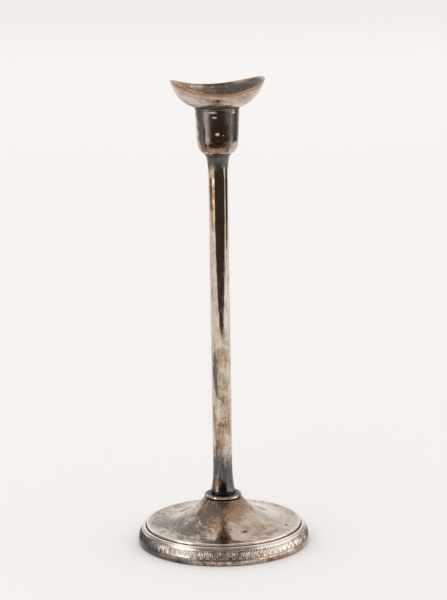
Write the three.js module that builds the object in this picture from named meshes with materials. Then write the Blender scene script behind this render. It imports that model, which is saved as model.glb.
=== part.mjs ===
// Altar candlestick in silver-plated brass, in millimetres, +Z up, with its origin at the centre of its
// underside. A weighted, felt-lined foot carries a tube stem, and one steel tie rod clamps foot, stem and
// socket together. A loose liner turns in the socket. The drip pan's sleeve plugs into the liner, so the pan
// turns and lifts off.
import * as THREE from "three";

// ---- Driving dimensions ----
const FOOT_RADIUS = 54; // widest point, on the plain rim moulding
const RIM_TOP = 4.1; // top of the plain rim moulding
const BAND_TOP = 10.5; // top of the ornamented band
const DOME_RADIUS = 48.8; // outer edge of the domed top of the foot
const DOME_EDGE = 11.7; // height of the dome's surface just inside its rolled edge
const DOME_TOP = 28.7; // flat seat for the collar
const COLLAR_RADIUS = 11.85;
const STEM_BOTTOM = 31.1;
const STEM_RADIUS = 6;
const FLARE_RADIUS = 8.2; // both ends of the stem are trumpeted out to this
const SOCKET_BOTTOM = 247; // seam between stem and socket
const SOCKET_RIM = 274.5;
const SOCKET_RIM_RADIUS = 13.6;
const SOCKET_WAIST_RADIUS = 12.75; // where the socket's wall turns in towards its floor
const SOCKET_WAIST = 255.5;
const BORE_RADIUS = 11.15; // candle bore, for a 22 mm candle
const PAN_FLOOR = 275.25; // underside of the drip pan where it rests on the liner
const PAN_RADIUS = 29.6; // mean radius of the pan's rim
const PAN_OVAL = 0.5; // the rim is this much wider towards front and back, and narrower towards the sides
const PAN_DRIFT = 0.5; // the rim stands off-centre towards +X and +Y by this much
const PAN_RIM_RISE = 14.15; // mean height of the pan's rim above its floor
const PAN_SADDLE = 3.2; // two sides of the rim stand this much above the mean, and the other two below
const PAN_TWIST = 7.5; // degrees from +X to the higher sides
const PAN_LEAN = 0.3; // the whole rim leans up towards +X and +Y by this much

const SHEET = 0.8; // spun sheet of foot, stem and pan
const SOCKET_SHEET = 0.6;
const THIN_SHEET = 0.45; // liner and sleeve
const FIT = 0.1; // gap between pieces that seat on each other

const ROUND = 48; // facets round the large turned pieces
const MEDIUM_ROUND = 32;
const SMALL_ROUND = 20; // facets round the small and hidden ones

// ---- Helpers ----
const at = (radius, height) => new THREE.Vector2(radius, height);

// A closed outline of radius and height, listed anticlockwise in that plane, turned about Z.
function turned(outline, segments = ROUND) {
  return new THREE.LatheGeometry([...outline, outline[0]], segments).rotateX(Math.PI / 2);
}

// Points along a cubic curve from start to end.
function sweep(start, pullStart, pullEnd, end, steps) {
  return new THREE.CubicBezierCurve(start, pullStart, pullEnd, end).getPoints(steps);
}

// The outline of a sheet that follows a line of points. Its thickness is on the left of the line's direction.
function sheet(line, thickness) {
  const farSide = line.map((point, i) => {
    const before = line[Math.max(i - 1, 0)];
    const after = line[Math.min(i + 1, line.length - 1)];
    const along = after.clone().sub(before).normalize();
    return at(point.x - along.y * thickness, point.y + along.x * thickness);
  });
  return [...line, ...farSide.reverse()];
}

// A plain tube or washer between two radii and two heights.
function ring(inside, outside, bottom, top, segments = SMALL_ROUND) {
  return turned([at(inside, bottom), at(outside, bottom), at(outside, top), at(inside, top)], segments);
}

// A plain solid cylinder between two heights.
function disc(radius, bottom, top, segments = ROUND) {
  return turned([at(0, bottom), at(radius, bottom), at(radius, top), at(0, top)], segments);
}

const FINISHES = {
  silver: new THREE.MeshStandardMaterial({ color: 0xa39a8f, roughness: 0.28, metalness: 1 }),
  tinned: new THREE.MeshStandardMaterial({ color: 0x9b958a, roughness: 0.4, metalness: 1 }),
  steel: new THREE.MeshStandardMaterial({ color: 0x6f6d6a, roughness: 0.5, metalness: 1 }),
  plaster: new THREE.MeshStandardMaterial({ color: 0xcfc8ba, roughness: 0.95, metalness: 0 }),
  felt: new THREE.MeshStandardMaterial({ color: 0x2f4636, roughness: 1, metalness: 0 }),
};

const candlestick = new THREE.Group();

function add(name, geometry, finish) {
  const mesh = new THREE.Mesh(geometry, FINISHES[finish].clone());
  mesh.name = name;
  candlestick.add(mesh);
}

// ---- Tie rod sizes that the pieces round it follow ----
const ROD_RADIUS = 2.4;
const ROD_HOLE = 2.7;
const ROD_BOTTOM = 3.6;
const ROD_TOP = 253.4;
const WASHER_RADIUS = 6;
const WASHER_THICKNESS = 0.9;
const NUT_RADIUS = 4.6; // half the width across its corners
const NUT_HEIGHT = 3.2;
const NUT_HOLE = ROD_RADIUS + FIT / 2;

// ---- Foot ----
// The dome is a trumpet of spun sheet: a flat seat, a hollow slope and a small rounded step down at its edge.
const DOME_SEAT_RADIUS = 11.9;
const DOME_FOOT = 10.95; // lowest point of the dome's edge
const DOME_SLOPE = sweep(
  at(46.6, DOME_EDGE + 0.05),
  at(34.6, DOME_EDGE),
  at(23.4, 14.8),
  at(DOME_SEAT_RADIUS, DOME_TOP - FIT),
  8,
);
const DOME_LINE = [
  at(DOME_RADIUS, DOME_FOOT),
  at(DOME_RADIUS, DOME_EDGE + 0.1),
  at(DOME_RADIUS - 0.8, DOME_EDGE + 0.65),
  ...DOME_SLOPE,
  at(ROD_HOLE, DOME_TOP),
];
add("foot_dome", turned(sheet(DOME_LINE, SHEET)), "silver");

// Drawn wire between the dome's edge and the ornamented band.
const STEP_INSIDE = DOME_RADIUS + FIT;
const STEP_BOTTOM = 9.6;
const STEP_OUTLINE = [
  at(STEP_INSIDE, STEP_BOTTOM),
  at(50.1, STEP_BOTTOM),
  at(51, BAND_TOP),
  at(50.6, 11.05),
  at(49.9, 11.2),
  at(49.2, 10.9),
  at(STEP_INSIDE, 10.6),
];
add("step_ring", turned(STEP_OUTLINE), "silver");

// Rolled strip that carries the ornament; its face bulges outwards.
const BAND_BOTTOM = RIM_TOP + FIT;
const BAND_FACE = sweep(at(53.75, BAND_BOTTOM), at(53.5, 6.6), at(52.4, 8.8), at(51.1, BAND_TOP - FIT), 4);
const BAND_BACK = [at(50, STEP_BOTTOM - 0.15), at(51.2, BAND_BOTTOM + 1.5), at(51.6, BAND_BOTTOM)];
add("ornament_band", turned([...BAND_FACE, ...BAND_BACK]), "silver");

// Solid half-round moulding that the candlestick stands on.
const RIM_INSIDE = 50.4;
const RIM_OUTLINE = [
  at(RIM_INSIDE, 0),
  at(53.2, 0),
  at(53.8, 0.6),
  at(FOOT_RADIUS, 1.6),
  at(FOOT_RADIUS, 3.2),
  at(53.7, RIM_TOP - 0.2),
  at(53.3, RIM_TOP),
  at(RIM_INSIDE, RIM_TOP),
];
add("base_rim", turned(RIM_OUTLINE), "silver");

// Felt, then a closing plate, then plaster poured under the dome with a pocket for the lower nut.
const FELT_TOP = 2;
const PLATE_BOTTOM = FELT_TOP + FIT;
const PLATE_TOP = PLATE_BOTTOM + 0.7;
const BALLAST_BOTTOM = PLATE_TOP + 4 * FIT;
const BALLAST_RADIUS = 46.5;
const BALLAST_TOP = 27.5;
const POCKET_RADIUS = 8;
const POCKET_TOP = 9.4;
add("felt_pad", disc(RIM_INSIDE - 4 * FIT, 0, FELT_TOP), "felt");
add("base_plate", disc(RIM_INSIDE - 3 * FIT, PLATE_BOTTOM, PLATE_TOP), "steel");
const BALLAST_OUTLINE = [
  at(POCKET_RADIUS, BALLAST_BOTTOM),
  at(BALLAST_RADIUS, BALLAST_BOTTOM),
  at(BALLAST_RADIUS, 10.2),
  at(40, 10.5),
  at(33, 12.2),
  at(26.5, 14.9),
  at(20, 19.2),
  at(14.5, 24.3),
  at(11, BALLAST_TOP),
  at(ROD_HOLE, BALLAST_TOP),
  at(ROD_HOLE, POCKET_TOP),
  at(POCKET_RADIUS, POCKET_TOP),
];
add("ballast", turned(BALLAST_OUTLINE, MEDIUM_ROUND), "plaster");

// Collar under the stem: a low disc with a half-round bead at its edge.
const BEAD_RADIUS = 0.95;
const BEAD_HEIGHT = 29.95;
const BEAD = [-60, -20, 20, 60, 100, 140].map((degrees) => {
  const turn = THREE.MathUtils.degToRad(degrees);
  return at(COLLAR_RADIUS - BEAD_RADIUS * (1 - Math.cos(turn)), BEAD_HEIGHT + BEAD_RADIUS * Math.sin(turn));
});
const COLLAR_BOTTOM = DOME_TOP + FIT;
const COLLAR_TOP = STEM_BOTTOM - FIT;
const COLLAR_OUTLINE = [
  at(ROD_HOLE, COLLAR_BOTTOM),
  at(10.8, COLLAR_BOTTOM),
  ...BEAD,
  at(9.7, COLLAR_TOP - 0.3),
  at(8.4, COLLAR_TOP),
  at(ROD_HOLE, COLLAR_TOP),
];
add("foot_collar", turned(COLLAR_OUTLINE, MEDIUM_ROUND), "silver");

// ---- Stem ----
const STEM_TOP = SOCKET_BOTTOM - FIT;
const STEM_LIP = 0.4; // upright edge of each flare
const LOWER_FLARE_TIP = at(FLARE_RADIUS, STEM_BOTTOM + STEM_LIP);
const UPPER_FLARE_TIP = at(FLARE_RADIUS, STEM_TOP - STEM_LIP);
const STEM_LINE = [
  at(FLARE_RADIUS, STEM_BOTTOM),
  ...sweep(LOWER_FLARE_TIP, at(6.9, 34.5), at(6.3, 39), at(STEM_RADIUS, 48), 5),
  ...sweep(at(STEM_RADIUS, 232), at(STEM_RADIUS + 0.2, 240), at(6.4, 244.6), UPPER_FLARE_TIP, 5),
  at(FLARE_RADIUS, STEM_TOP),
];
add("stem_tube", turned(sheet(STEM_LINE, SHEET), MEDIUM_ROUND), "silver");

// Turned bushes that centre the rod in the stem.
const BUSH_RADIUS = STEM_RADIUS - SHEET - FIT;
const BUSH_LENGTH = 10;
const BUSH_SETBACK = 2; // from each end of the stem
const LOWER_BUSH = STEM_BOTTOM + BUSH_SETBACK;
const UPPER_BUSH = STEM_TOP - BUSH_SETBACK - BUSH_LENGTH;
add("lower_bush", ring(ROD_HOLE, BUSH_RADIUS, LOWER_BUSH, LOWER_BUSH + BUSH_LENGTH), "tinned");
add("upper_bush", ring(ROD_HOLE, BUSH_RADIUS, UPPER_BUSH, UPPER_BUSH + BUSH_LENGTH), "tinned");

// ---- Tie rod and its fasteners ----
add("tie_rod", disc(ROD_RADIUS, ROD_BOTTOM, ROD_TOP, SMALL_ROUND), "steel");

function washer(bottom) {
  return ring(ROD_HOLE, WASHER_RADIUS, bottom, bottom + WASHER_THICKNESS);
}

function nut(bottom) {
  const corners = [0, 1, 2, 3, 4, 5].map((corner) => {
    const turn = (corner * Math.PI) / 3;
    return at(NUT_RADIUS * Math.cos(turn), NUT_RADIUS * Math.sin(turn));
  });
  const hexagon = new THREE.Shape(corners);
  hexagon.holes.push(new THREE.Path().absarc(0, 0, NUT_HOLE, 0, 2 * Math.PI, true));
  const solid = new THREE.ExtrudeGeometry(hexagon, {
    depth: NUT_HEIGHT,
    bevelEnabled: false,
    curveSegments: SMALL_ROUND / 2,
  });
  return solid.translate(0, 0, bottom);
}

const LOWER_WASHER = POCKET_TOP - FIT - WASHER_THICKNESS;
const UPPER_WASHER = SOCKET_BOTTOM + SOCKET_SHEET + FIT;
add("lower_washer", washer(LOWER_WASHER), "steel");
add("lower_nut", nut(LOWER_WASHER - FIT - NUT_HEIGHT), "steel");
add("upper_washer", washer(UPPER_WASHER), "steel");
add("upper_nut", nut(UPPER_WASHER + WASHER_THICKNESS + FIT), "steel");

// ---- Candle socket ----
const SOCKET_FLOOR_LINE = sweep(
  at(8, SOCKET_BOTTOM),
  at(10.7, 247.5),
  at(12.4, 250.2),
  at(SOCKET_WAIST_RADIUS, SOCKET_WAIST),
  5,
);
const SOCKET_LINE = [at(ROD_HOLE, SOCKET_BOTTOM), ...SOCKET_FLOOR_LINE, at(SOCKET_RIM_RADIUS, SOCKET_RIM)];
add("socket_cup", turned(sheet(SOCKET_LINE, SOCKET_SHEET)), "silver");

// Loose liner: a stepped cup whose flange rests on the socket's rim and whose step stops the pan's sleeve.
const SEAT_BOTTOM = 254.3;
const SEAT_TOP = SEAT_BOTTOM + 0.6; // the candle stands here
const LEDGE = 264.3; // underside of the step
const WIDE_BORE = 11.7; // takes the sleeve
const FLANGE_BOTTOM = SOCKET_RIM + FIT;
const FLANGE_TOP = PAN_FLOOR - FIT;
const FLANGE_RADIUS = 13.75;
const LINER_OUTLINE = [
  at(0, SEAT_BOTTOM),
  at(BORE_RADIUS + THIN_SHEET, SEAT_BOTTOM),
  at(BORE_RADIUS + THIN_SHEET, LEDGE),
  at(WIDE_BORE + THIN_SHEET, LEDGE),
  at(WIDE_BORE + THIN_SHEET, FLANGE_BOTTOM),
  at(FLANGE_RADIUS, FLANGE_BOTTOM),
  at(FLANGE_RADIUS, FLANGE_TOP),
  at(WIDE_BORE, FLANGE_TOP),
  at(WIDE_BORE, LEDGE + THIN_SHEET),
  at(BORE_RADIUS, LEDGE + THIN_SHEET),
  at(BORE_RADIUS, SEAT_TOP),
  at(0, SEAT_TOP),
];
add("socket_liner", turned(LINER_OUTLINE), "tinned");

// ---- Drip pan ----
const SLEEVE_RADIUS = BORE_RADIUS + THIN_SHEET;
const SLEEVE_BOTTOM = LEDGE + THIN_SHEET + FIT;
add("pan_sleeve", ring(BORE_RADIUS, SLEEVE_RADIUS, SLEEVE_BOTTOM, PAN_FLOOR + SHEET, ROUND), "silver");

// Height of the rim above the pan's floor in a direction.
function rimRise(angle) {
  const twist = THREE.MathUtils.degToRad(PAN_TWIST);
  const lean = PAN_LEAN * (Math.cos(angle) + Math.sin(angle));
  return PAN_RIM_RISE + PAN_SADDLE * Math.cos(2 * (angle - twist)) + lean;
}

// How much further out than the mean the rim stands in a direction.
function rimSpread(angle) {
  return PAN_DRIFT * (Math.cos(angle) + Math.sin(angle)) - PAN_OVAL * Math.cos(2 * angle);
}

// The pan is turned with a level round rim. Each direction is then stretched upwards to the rim's own height, and
// outwards the more the nearer it is to the rim.
function panShape() {
  const slope = sweep(
    at(SLEEVE_RADIUS + 2 * FIT, 0),
    at(20.8, 0.07 * PAN_RIM_RISE),
    at(27, 0.5 * PAN_RIM_RISE),
    at(PAN_RADIUS, PAN_RIM_RISE),
    7,
  );
  const pan = turned(sheet(slope, SHEET));
  const places = pan.getAttribute("position");
  for (let i = 0; i < places.count; i++) {
    const angle = Math.atan2(places.getY(i), places.getX(i));
    const share = places.getZ(i) / PAN_RIM_RISE;
    const out = 1 + (rimSpread(angle) * share) / Math.hypot(places.getX(i), places.getY(i));
    places.setXYZ(i, places.getX(i) * out, places.getY(i) * out, PAN_FLOOR + rimRise(angle) * share);
  }
  return pan;
}
add("drip_pan", panShape(), "silver");

export default candlestick;
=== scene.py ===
"""Altar candlestick in old silver plate: an add-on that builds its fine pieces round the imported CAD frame."""

import math
from types import SimpleNamespace

import bpy
import numpy as np
from mathutils import Matrix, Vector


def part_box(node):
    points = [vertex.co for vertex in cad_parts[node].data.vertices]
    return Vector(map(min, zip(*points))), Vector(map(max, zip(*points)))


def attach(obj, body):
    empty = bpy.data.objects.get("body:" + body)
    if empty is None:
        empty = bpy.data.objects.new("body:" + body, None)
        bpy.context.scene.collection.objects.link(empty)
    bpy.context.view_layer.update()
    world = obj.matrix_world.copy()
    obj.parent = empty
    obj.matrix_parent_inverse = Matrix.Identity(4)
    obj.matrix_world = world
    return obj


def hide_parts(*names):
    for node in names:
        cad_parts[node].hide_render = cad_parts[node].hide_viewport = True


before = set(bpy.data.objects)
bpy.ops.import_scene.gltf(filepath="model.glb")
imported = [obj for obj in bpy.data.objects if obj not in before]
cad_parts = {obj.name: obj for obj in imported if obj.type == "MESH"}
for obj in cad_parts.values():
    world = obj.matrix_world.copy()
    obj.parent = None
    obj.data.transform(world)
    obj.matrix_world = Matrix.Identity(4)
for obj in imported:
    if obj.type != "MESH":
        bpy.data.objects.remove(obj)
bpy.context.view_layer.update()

bl_info = {
    "name": "Altar Candlestick",
    "version": (1, 0, 0),
    "blender": (4, 5, 0),
    "location": "View3D > Sidebar > Candlestick",
    "description": "Builds a silver-plated altar candlestick and the table it stands on",
    "category": "Add Mesh",
}

MM = 0.001
# Lengths in millimetres
FIT = 0.1  # gap between pieces that seat on each other
SHEET = 0.8  # spun sheet of foot, stem and pan
SOCKET_SHEET = 0.6
THIN_SHEET = 0.45  # liner and sleeve
ROD_HOLE = 2.7  # radius of the hole for the tie rod
LINER_DEPTH = 20.2  # from the socket's rim down to the liner's underside

# Columns round foot and pan, round socket and collar, and round the rest
WIDE, MIDDLE, NARROW = 256, 160, 128
# Layers of tarnish, dirt and wear; the same layers also carry painted highlights and painted dark reflections
TARNISH_AND_PAINTED_LIGHT = ("amber_and_painted_reflection", "slate_and_painted_reflection", "soot_and_painted_reflection", "wax", "rubbed_and_painted_highlight")


# ---- Sizes and colours that a user would change ----


def linear(hex_colour):
    """An sRGB hex colour such as "A39A8F" as linear red, green, blue and alpha."""
    srgb = np.array([int(hex_colour[i : i + 2], 16) for i in (0, 2, 4)]) / 255
    light = np.where(srgb <= 0.04045, srgb / 12.92, ((srgb + 0.055) / 1.055) ** 2.4)
    return (*(float(value) for value in light), 1.0)


def length(name, description, default):
    """A panel length in metres."""
    return bpy.props.FloatProperty(
        name=name, description=description, default=default, min=0.0, unit="LENGTH", precision=5
    )


def colour(name, description, hex_colour):
    """A panel colour."""
    tint = linear(hex_colour)
    return bpy.props.FloatVectorProperty(
        name=name, description=description, default=tint, size=4, min=0.0, max=1.0, subtype="COLOR"
    )


def low(node):
    """The lowest corner of a CAD node's box, in metres."""
    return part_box(node)[0]


def high(node):
    """The highest corner of a CAD node's box, in metres."""
    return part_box(node)[1]


PAN_LOW, PAN_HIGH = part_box("drip_pan")
PAN_WIDTH = PAN_HIGH - PAN_LOW


class CandlestickSizes(bpy.types.PropertyGroup):
    """Driving sizes, most with defaults taken from the frame."""

    foot_radius: length("Foot radius", "Widest point of the rim moulding", high("base_rim").x)
    rim_top: length("Rim top", "Top of the plain rim moulding", high("base_rim").z)
    band_top: length("Band top", "Top of the ornamented band", high("ornament_band").z)
    dome_radius: length("Dome radius", "Outer edge of the domed top", high("foot_dome").x)
    dome_top: length("Dome top", "Flat seat under the collar", high("foot_dome").z)
    collar_radius: length("Collar radius", "Crest of the collar's bead", high("foot_collar").x)
    stem_bottom: length("Stem bottom", "Lower end of the stem", low("stem_tube").z)
    stem_top: length("Stem top", "Upper end of the stem", high("stem_tube").z)
    flare_radius: length("Flare radius", "Both ends of the stem", high("stem_tube").x)
    socket_bottom: length("Socket bottom", "Seam between stem and socket", low("socket_cup").z)
    socket_rim: length("Socket rim", "Top of the socket", low("socket_liner").z + LINER_DEPTH * MM)
    socket_radius: length("Socket radius", "Radius of the socket's rim", high("socket_cup").x)
    pan_floor: length("Pan floor", "Underside of the drip pan", PAN_LOW.z)
    pan_radius: length("Pan radius", "Mean radius of the pan's rim", (PAN_WIDTH.x + PAN_WIDTH.y) / 4)
    pan_oval: length("Pan oval", "Extra radius towards front and back", (PAN_WIDTH.y - PAN_WIDTH.x) / 4)
    pan_drift: length("Pan drift", "How far the rim stands off-centre", (PAN_HIGH.x + PAN_LOW.x) / 2)
    pan_rise: length("Pan rise", "Mean height of the pan's rim above its floor", 0.01415)
    pan_saddle: length("Pan wave", "Rise and fall of the rim about its mean height", 0.0032)
    pan_lean: length("Pan lean", "How much the rim rises to the right and back", 0.0003)
    relief: length("Relief", "Depth of the stamped border", 0.00022)
    motifs: bpy.props.IntProperty(
        name="Motifs", description="Fans of leaves round the border", default=84, min=8, max=120
    )
    pan_twist: bpy.props.FloatProperty(
        name="Pan twist", description="Bearing of the high sides", default=math.radians(7.5), subtype="ANGLE"
    )


class CandlestickColours(bpy.types.PropertyGroup):
    """Colours of metal, tarnish and cloth."""

    silver: colour("Silver", "Plate where it is nearly clean", "DDD3C9")
    straw: colour("Straw", "Yellow-brown film of thin tarnish", "C1AD94")
    pewter: colour("Pewter", "Grey-brown film of thin tarnish", "BBAC9C")
    copper: colour("Copper", "Pinkish metal where the plate is worn thin", "BFA898")
    # Slate also colours painted dark reflections on the dome, the rim and the pan
    slate_and_painted_reflection: colour("Slate", "Thick blue-grey tarnish", "4F5051")
    # Amber also colours the pan's brown band, which is made strongest in front as a painted reflection of the
    # dim room
    amber_and_painted_reflection: colour("Amber", "Brown tarnish, and brass showing through", "966E44")
    # Soot also colours painted dark reflections on the dome, the rim, the socket and the pan
    soot_and_painted_reflection: colour("Soot", "Black dirt in hollows and seams", "1D1916")
    wax: colour("Wax", "Pale specks of old candle wax", "DCD2C0")
    # Rubbed also colours painted highlights on the wire, the band, the rim and the stem
    rubbed_and_painted_highlight: colour("Rubbed", "Bright metal on worn edges", "F2EAE2")
    tin: colour("Tin", "Tinned brass inside the socket", "BDB6AA")
    steel: colour("Steel", "Rod, nuts, washers and base plate", "77736E")
    plaster: colour("Plaster", "Weight inside the foot", "D6CFC0")
    felt: colour("Felt", "Pad under the foot", "2C4433")
    table: colour("Table", "Surface the candlestick stands on", "F4F2F1")


def read_sizes():
    """The panel's sizes, with every length in millimetres."""
    group = bpy.context.scene.candlestick_sizes
    names = [name for name in CandlestickSizes.__annotations__ if name not in ("motifs", "pan_twist")]
    lengths = {name: getattr(group, name) / MM for name in names}
    return SimpleNamespace(**lengths, motifs=group.motifs, pan_twist=group.pan_twist)


# ---- Outlines: rows of (radius, height) in millimetres ----


def arc(centre, radius, start, end, steps):
    """Centre plus radius times the cosine and sine of evenly spaced angles, in degrees."""
    turn = np.radians(np.linspace(start, end, steps + 1))[:, None]
    return np.array(centre) + radius * np.hstack([np.cos(turn), np.sin(turn)])


def sweep(start, pull_start, pull_end, end, steps):
    """A cubic Bezier curve: the four points weighted by (1-t)^3, 3t(1-t)^2, 3t^2(1-t) and t^3."""
    t = np.linspace(0, 1, steps + 1)[:, None]
    weights = np.hstack([(1 - t) ** 3, 3 * t * (1 - t) ** 2, 3 * t**2 * (1 - t), t**3])
    return weights @ np.array([start, pull_start, pull_end, end], float)


def joined(*parts):
    """Curves end to end, with points that fall on the one before left out."""
    line = np.vstack([np.atleast_2d(part) for part in parts]).astype(float)
    keep = np.r_[True, np.linalg.norm(np.diff(line, axis=0), axis=1) > 1e-4]
    return line[keep]


def rounded(corners, radius, steps=4):
    """A closed polygon with each corner c replaced by the curve (1-t)^2 a + 2t(1-t) c + t^2 b, a and b being
    a radius from c on its two edges, or 0.45 of the shorter edge if that is less."""
    corner = np.array(corners, float)[:, None]
    before, after = np.roll(corner, 1, axis=0) - corner, np.roll(corner, -1, axis=0) - corner
    spans = [np.linalg.norm(edge, axis=2, keepdims=True) for edge in (before, after)]
    cut = np.minimum(radius, 0.45 * np.minimum(*spans))
    start, end = corner + before / spans[0] * cut, corner + after / spans[1] * cut
    t = np.linspace(0, 1, steps + 1)[None, :, None]
    return ((1 - t) ** 2 * start + 2 * t * (1 - t) * corner + t**2 * end).reshape(-1, 2)


def run(line):
    """Length along a line up to each of its points."""
    return np.r_[0, np.cumsum(np.linalg.norm(np.diff(line, axis=0), axis=1))]


def direction(line):
    """Unit vectors along a line."""
    along = np.gradient(line, axis=0)
    return along / np.linalg.norm(along, axis=1, keepdims=True)


def sheet(line, thickness, cap_steps=4):
    """The closed outline of a sheet on the left of a line: the line, its offset along its normals, and round
    ends. The line is first cut back by half the thickness, so that the ends reach no further than it did.
    Where a bend is too tight for the sheet, offset points that would fold back are left out."""
    half, least_gap = thickness / 2, 0.02
    reach = run(line)
    last = reach[-1] - half
    stations = np.r_[half, reach[(reach > half + least_gap) & (reach < last - least_gap)], last]
    line = np.column_stack([np.interp(stations, reach, values) for values in line.T])
    along = direction(line)
    left = np.column_stack([-along[:, 1], along[:, 0]])
    far = line + left * thickness
    steps, far_steps = np.diff(line, axis=0), np.diff(far, axis=0)
    far = far[np.r_[True, (steps * far_steps).sum(axis=1) > 0.05 * (steps * steps).sum(axis=1)]]
    turn = np.linspace(0, math.pi, cap_steps + 2)[1:-1, None]
    end_cap = (line[-1] + far[-1]) / 2 + half * (np.sin(turn) * along[-1] - np.cos(turn) * left[-1])
    start_cap = (line[0] + far[0]) / 2 + half * (np.cos(turn) * left[0] - np.sin(turn) * along[0])
    return np.vstack([line, end_cap, far[::-1], start_cap])


# ---- Meshes ----


def turned(outline, segments):
    """A surface of revolution as a grid: (radius cos a, radius sin a, height) for each angle a."""
    angle = np.linspace(0, 2 * math.pi, segments, endpoint=False)
    radius, height = outline[:, :1], outline[:, 1:]
    return np.dstack([radius * np.cos(angle), radius * np.sin(angle), np.repeat(height, segments, axis=1)])


def bearings(grid):
    """Bearing of each grid point, in degrees from 0 to 360: 0 is right, 90 the back and 270 the front."""
    return np.degrees(np.arctan2(grid[..., 1], grid[..., 0])) % 360


def radii(grid):
    """Distance of each grid point from the upright axis."""
    return np.hypot(grid[..., 0], grid[..., 1])


def peak(values, middle, width):
    """The bell exp(-((v - middle) / width)^2), which is 1 at the middle."""
    return np.exp(-(((values - middle) / width) ** 2))


def marks(grid, spots, level=None):
    """Every tarnish of a piece, with the painted highlights and dark reflections that share its layers, each a
    sum of
    soft spots: strength times exp(-(d/w)^2 - (e/h)^2), d along the bearing and e upwards, in mm. A spot is
    (bearing, height, w, h, strength). Level, where it is given, is read instead of height."""
    radius = radii(grid)
    level = grid[..., 2] if level is None else level
    tarnish = {kind: np.zeros(grid.shape[:2]) for kind in TARNISH_AND_PAINTED_LIGHT}
    for kind, places in spots.items():
        for bearing, place, wide, tall, strength in places:
            away = np.radians((bearings(grid) - bearing + 180) % 360 - 180) * radius
            tarnish[kind] += strength * peak(away, 0, wide) * peak(level, place, tall)
    return tarnish


def brushed(grid, around, along, twist):
    """Coordinates for streaks, in metres: on a circle of the piece's mean radius over around, turned by twist
    degrees for each mm along the outline, and as high as the length along the outline over along."""
    length_along = run(grid[:, 0])[:, None] + np.zeros(grid.shape[1])
    turn = np.radians(bearings(grid) + twist * length_along)
    radius = radii(grid).mean() / around
    return np.dstack([radius * np.cos(turn), radius * np.sin(turn), length_along / along]) * MM


def grid_mesh(name, grid, closed, tarnish, brush):
    """A mesh on a grid, in millimetres, that closes round its columns, and round its rows too or else at a
    pole in the middle of each end row. Each layer of tarnish, painted highlight and painted dark reflection is a
    value per vertex, and brush is the streaks' run."""
    rows, columns = grid.shape[:2]
    count = rows * columns
    index = np.arange(count).reshape(rows, columns)
    beside = np.roll(index, -1, axis=1)
    corners = [index, beside, np.roll(beside, -1, axis=0), np.roll(index, -1, axis=0)]
    faces = np.stack(corners, axis=-1)[: rows if closed else -1].reshape(-1, 4).tolist()
    points = grid.reshape(-1, 3)
    if not closed:
        points = np.vstack([points, grid[[0, -1]].mean(axis=1)])
        pole = np.full(columns, count)
        faces += np.column_stack([beside[0], index[0], pole]).tolist()
        faces += np.column_stack([index[-1], beside[-1], pole + 1]).tolist()
    mesh = bpy.data.meshes.new(name)
    mesh.from_pydata((points * MM).tolist(), [], faces)
    mesh.polygons.foreach_set("use_smooth", np.ones(len(mesh.polygons), bool))
    for kind in TARNISH_AND_PAINTED_LIGHT:
        values = np.zeros(len(points), np.float32)
        values[:count] = np.clip(tarnish.get(kind, np.zeros((rows, columns))), -2, 2).ravel()
        mesh.attributes.new(kind, "FLOAT", "POINT").data.foreach_set("value", values)
    streaks = np.zeros((len(points), 3), np.float32)
    streaks[:count] = brushed(grid, *brush).reshape(-1, 3)
    mesh.attributes.new("brushed", "FLOAT_VECTOR", "POINT").data.foreach_set("vector", streaks.ravel())
    mesh.update()
    return mesh


def add_object(name, data):
    """A new object for a mesh, lamp or camera, linked to the scene."""
    thing = bpy.data.objects.new(name, data)
    bpy.context.scene.collection.objects.link(thing)
    return thing


def add_piece(
    name, node, material, grid, tarnish=None, brush=(1, 1, 0), body="stand", closed=True
):
    """Shows a grid's mesh in place of a CAD node, riding on the node's body."""
    mesh = grid_mesh(name, grid, closed, tarnish or {}, brush)
    mesh.materials.append(material)
    piece = add_object(name, mesh)
    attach(piece, body)
    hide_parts(node)


# ---- Materials ----


def add_node(tree, kind, inputs, output=0, **properties):
    """Adds a shader node, sets its properties, fills its inputs with plain values or with links from sockets,
    and returns one of its outputs."""
    node = tree.nodes.new("ShaderNode" + kind)
    for key, value in properties.items():
        setattr(node, key, value)
    for key, value in inputs.items():
        if isinstance(value, bpy.types.NodeSocket):
            tree.links.new(value, node.inputs[key])
        else:
            node.inputs[key].default_value = value
    return node.outputs[output] if node.outputs else None


def new_material(name):
    """An empty node material, its tree, and its Object coordinates."""
    material = bpy.data.materials.new(name)
    material.use_nodes = True
    material.node_tree.nodes.clear()
    return material, material.node_tree, add_node(material.node_tree, "TexCoord", {}, "Object")


def finish_material(tree, inputs):
    """Ends a tree with a Principled shader and its output."""
    add_node(tree, "OutputMaterial", {"Surface": add_node(tree, "BsdfPrincipled", inputs)})


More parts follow.
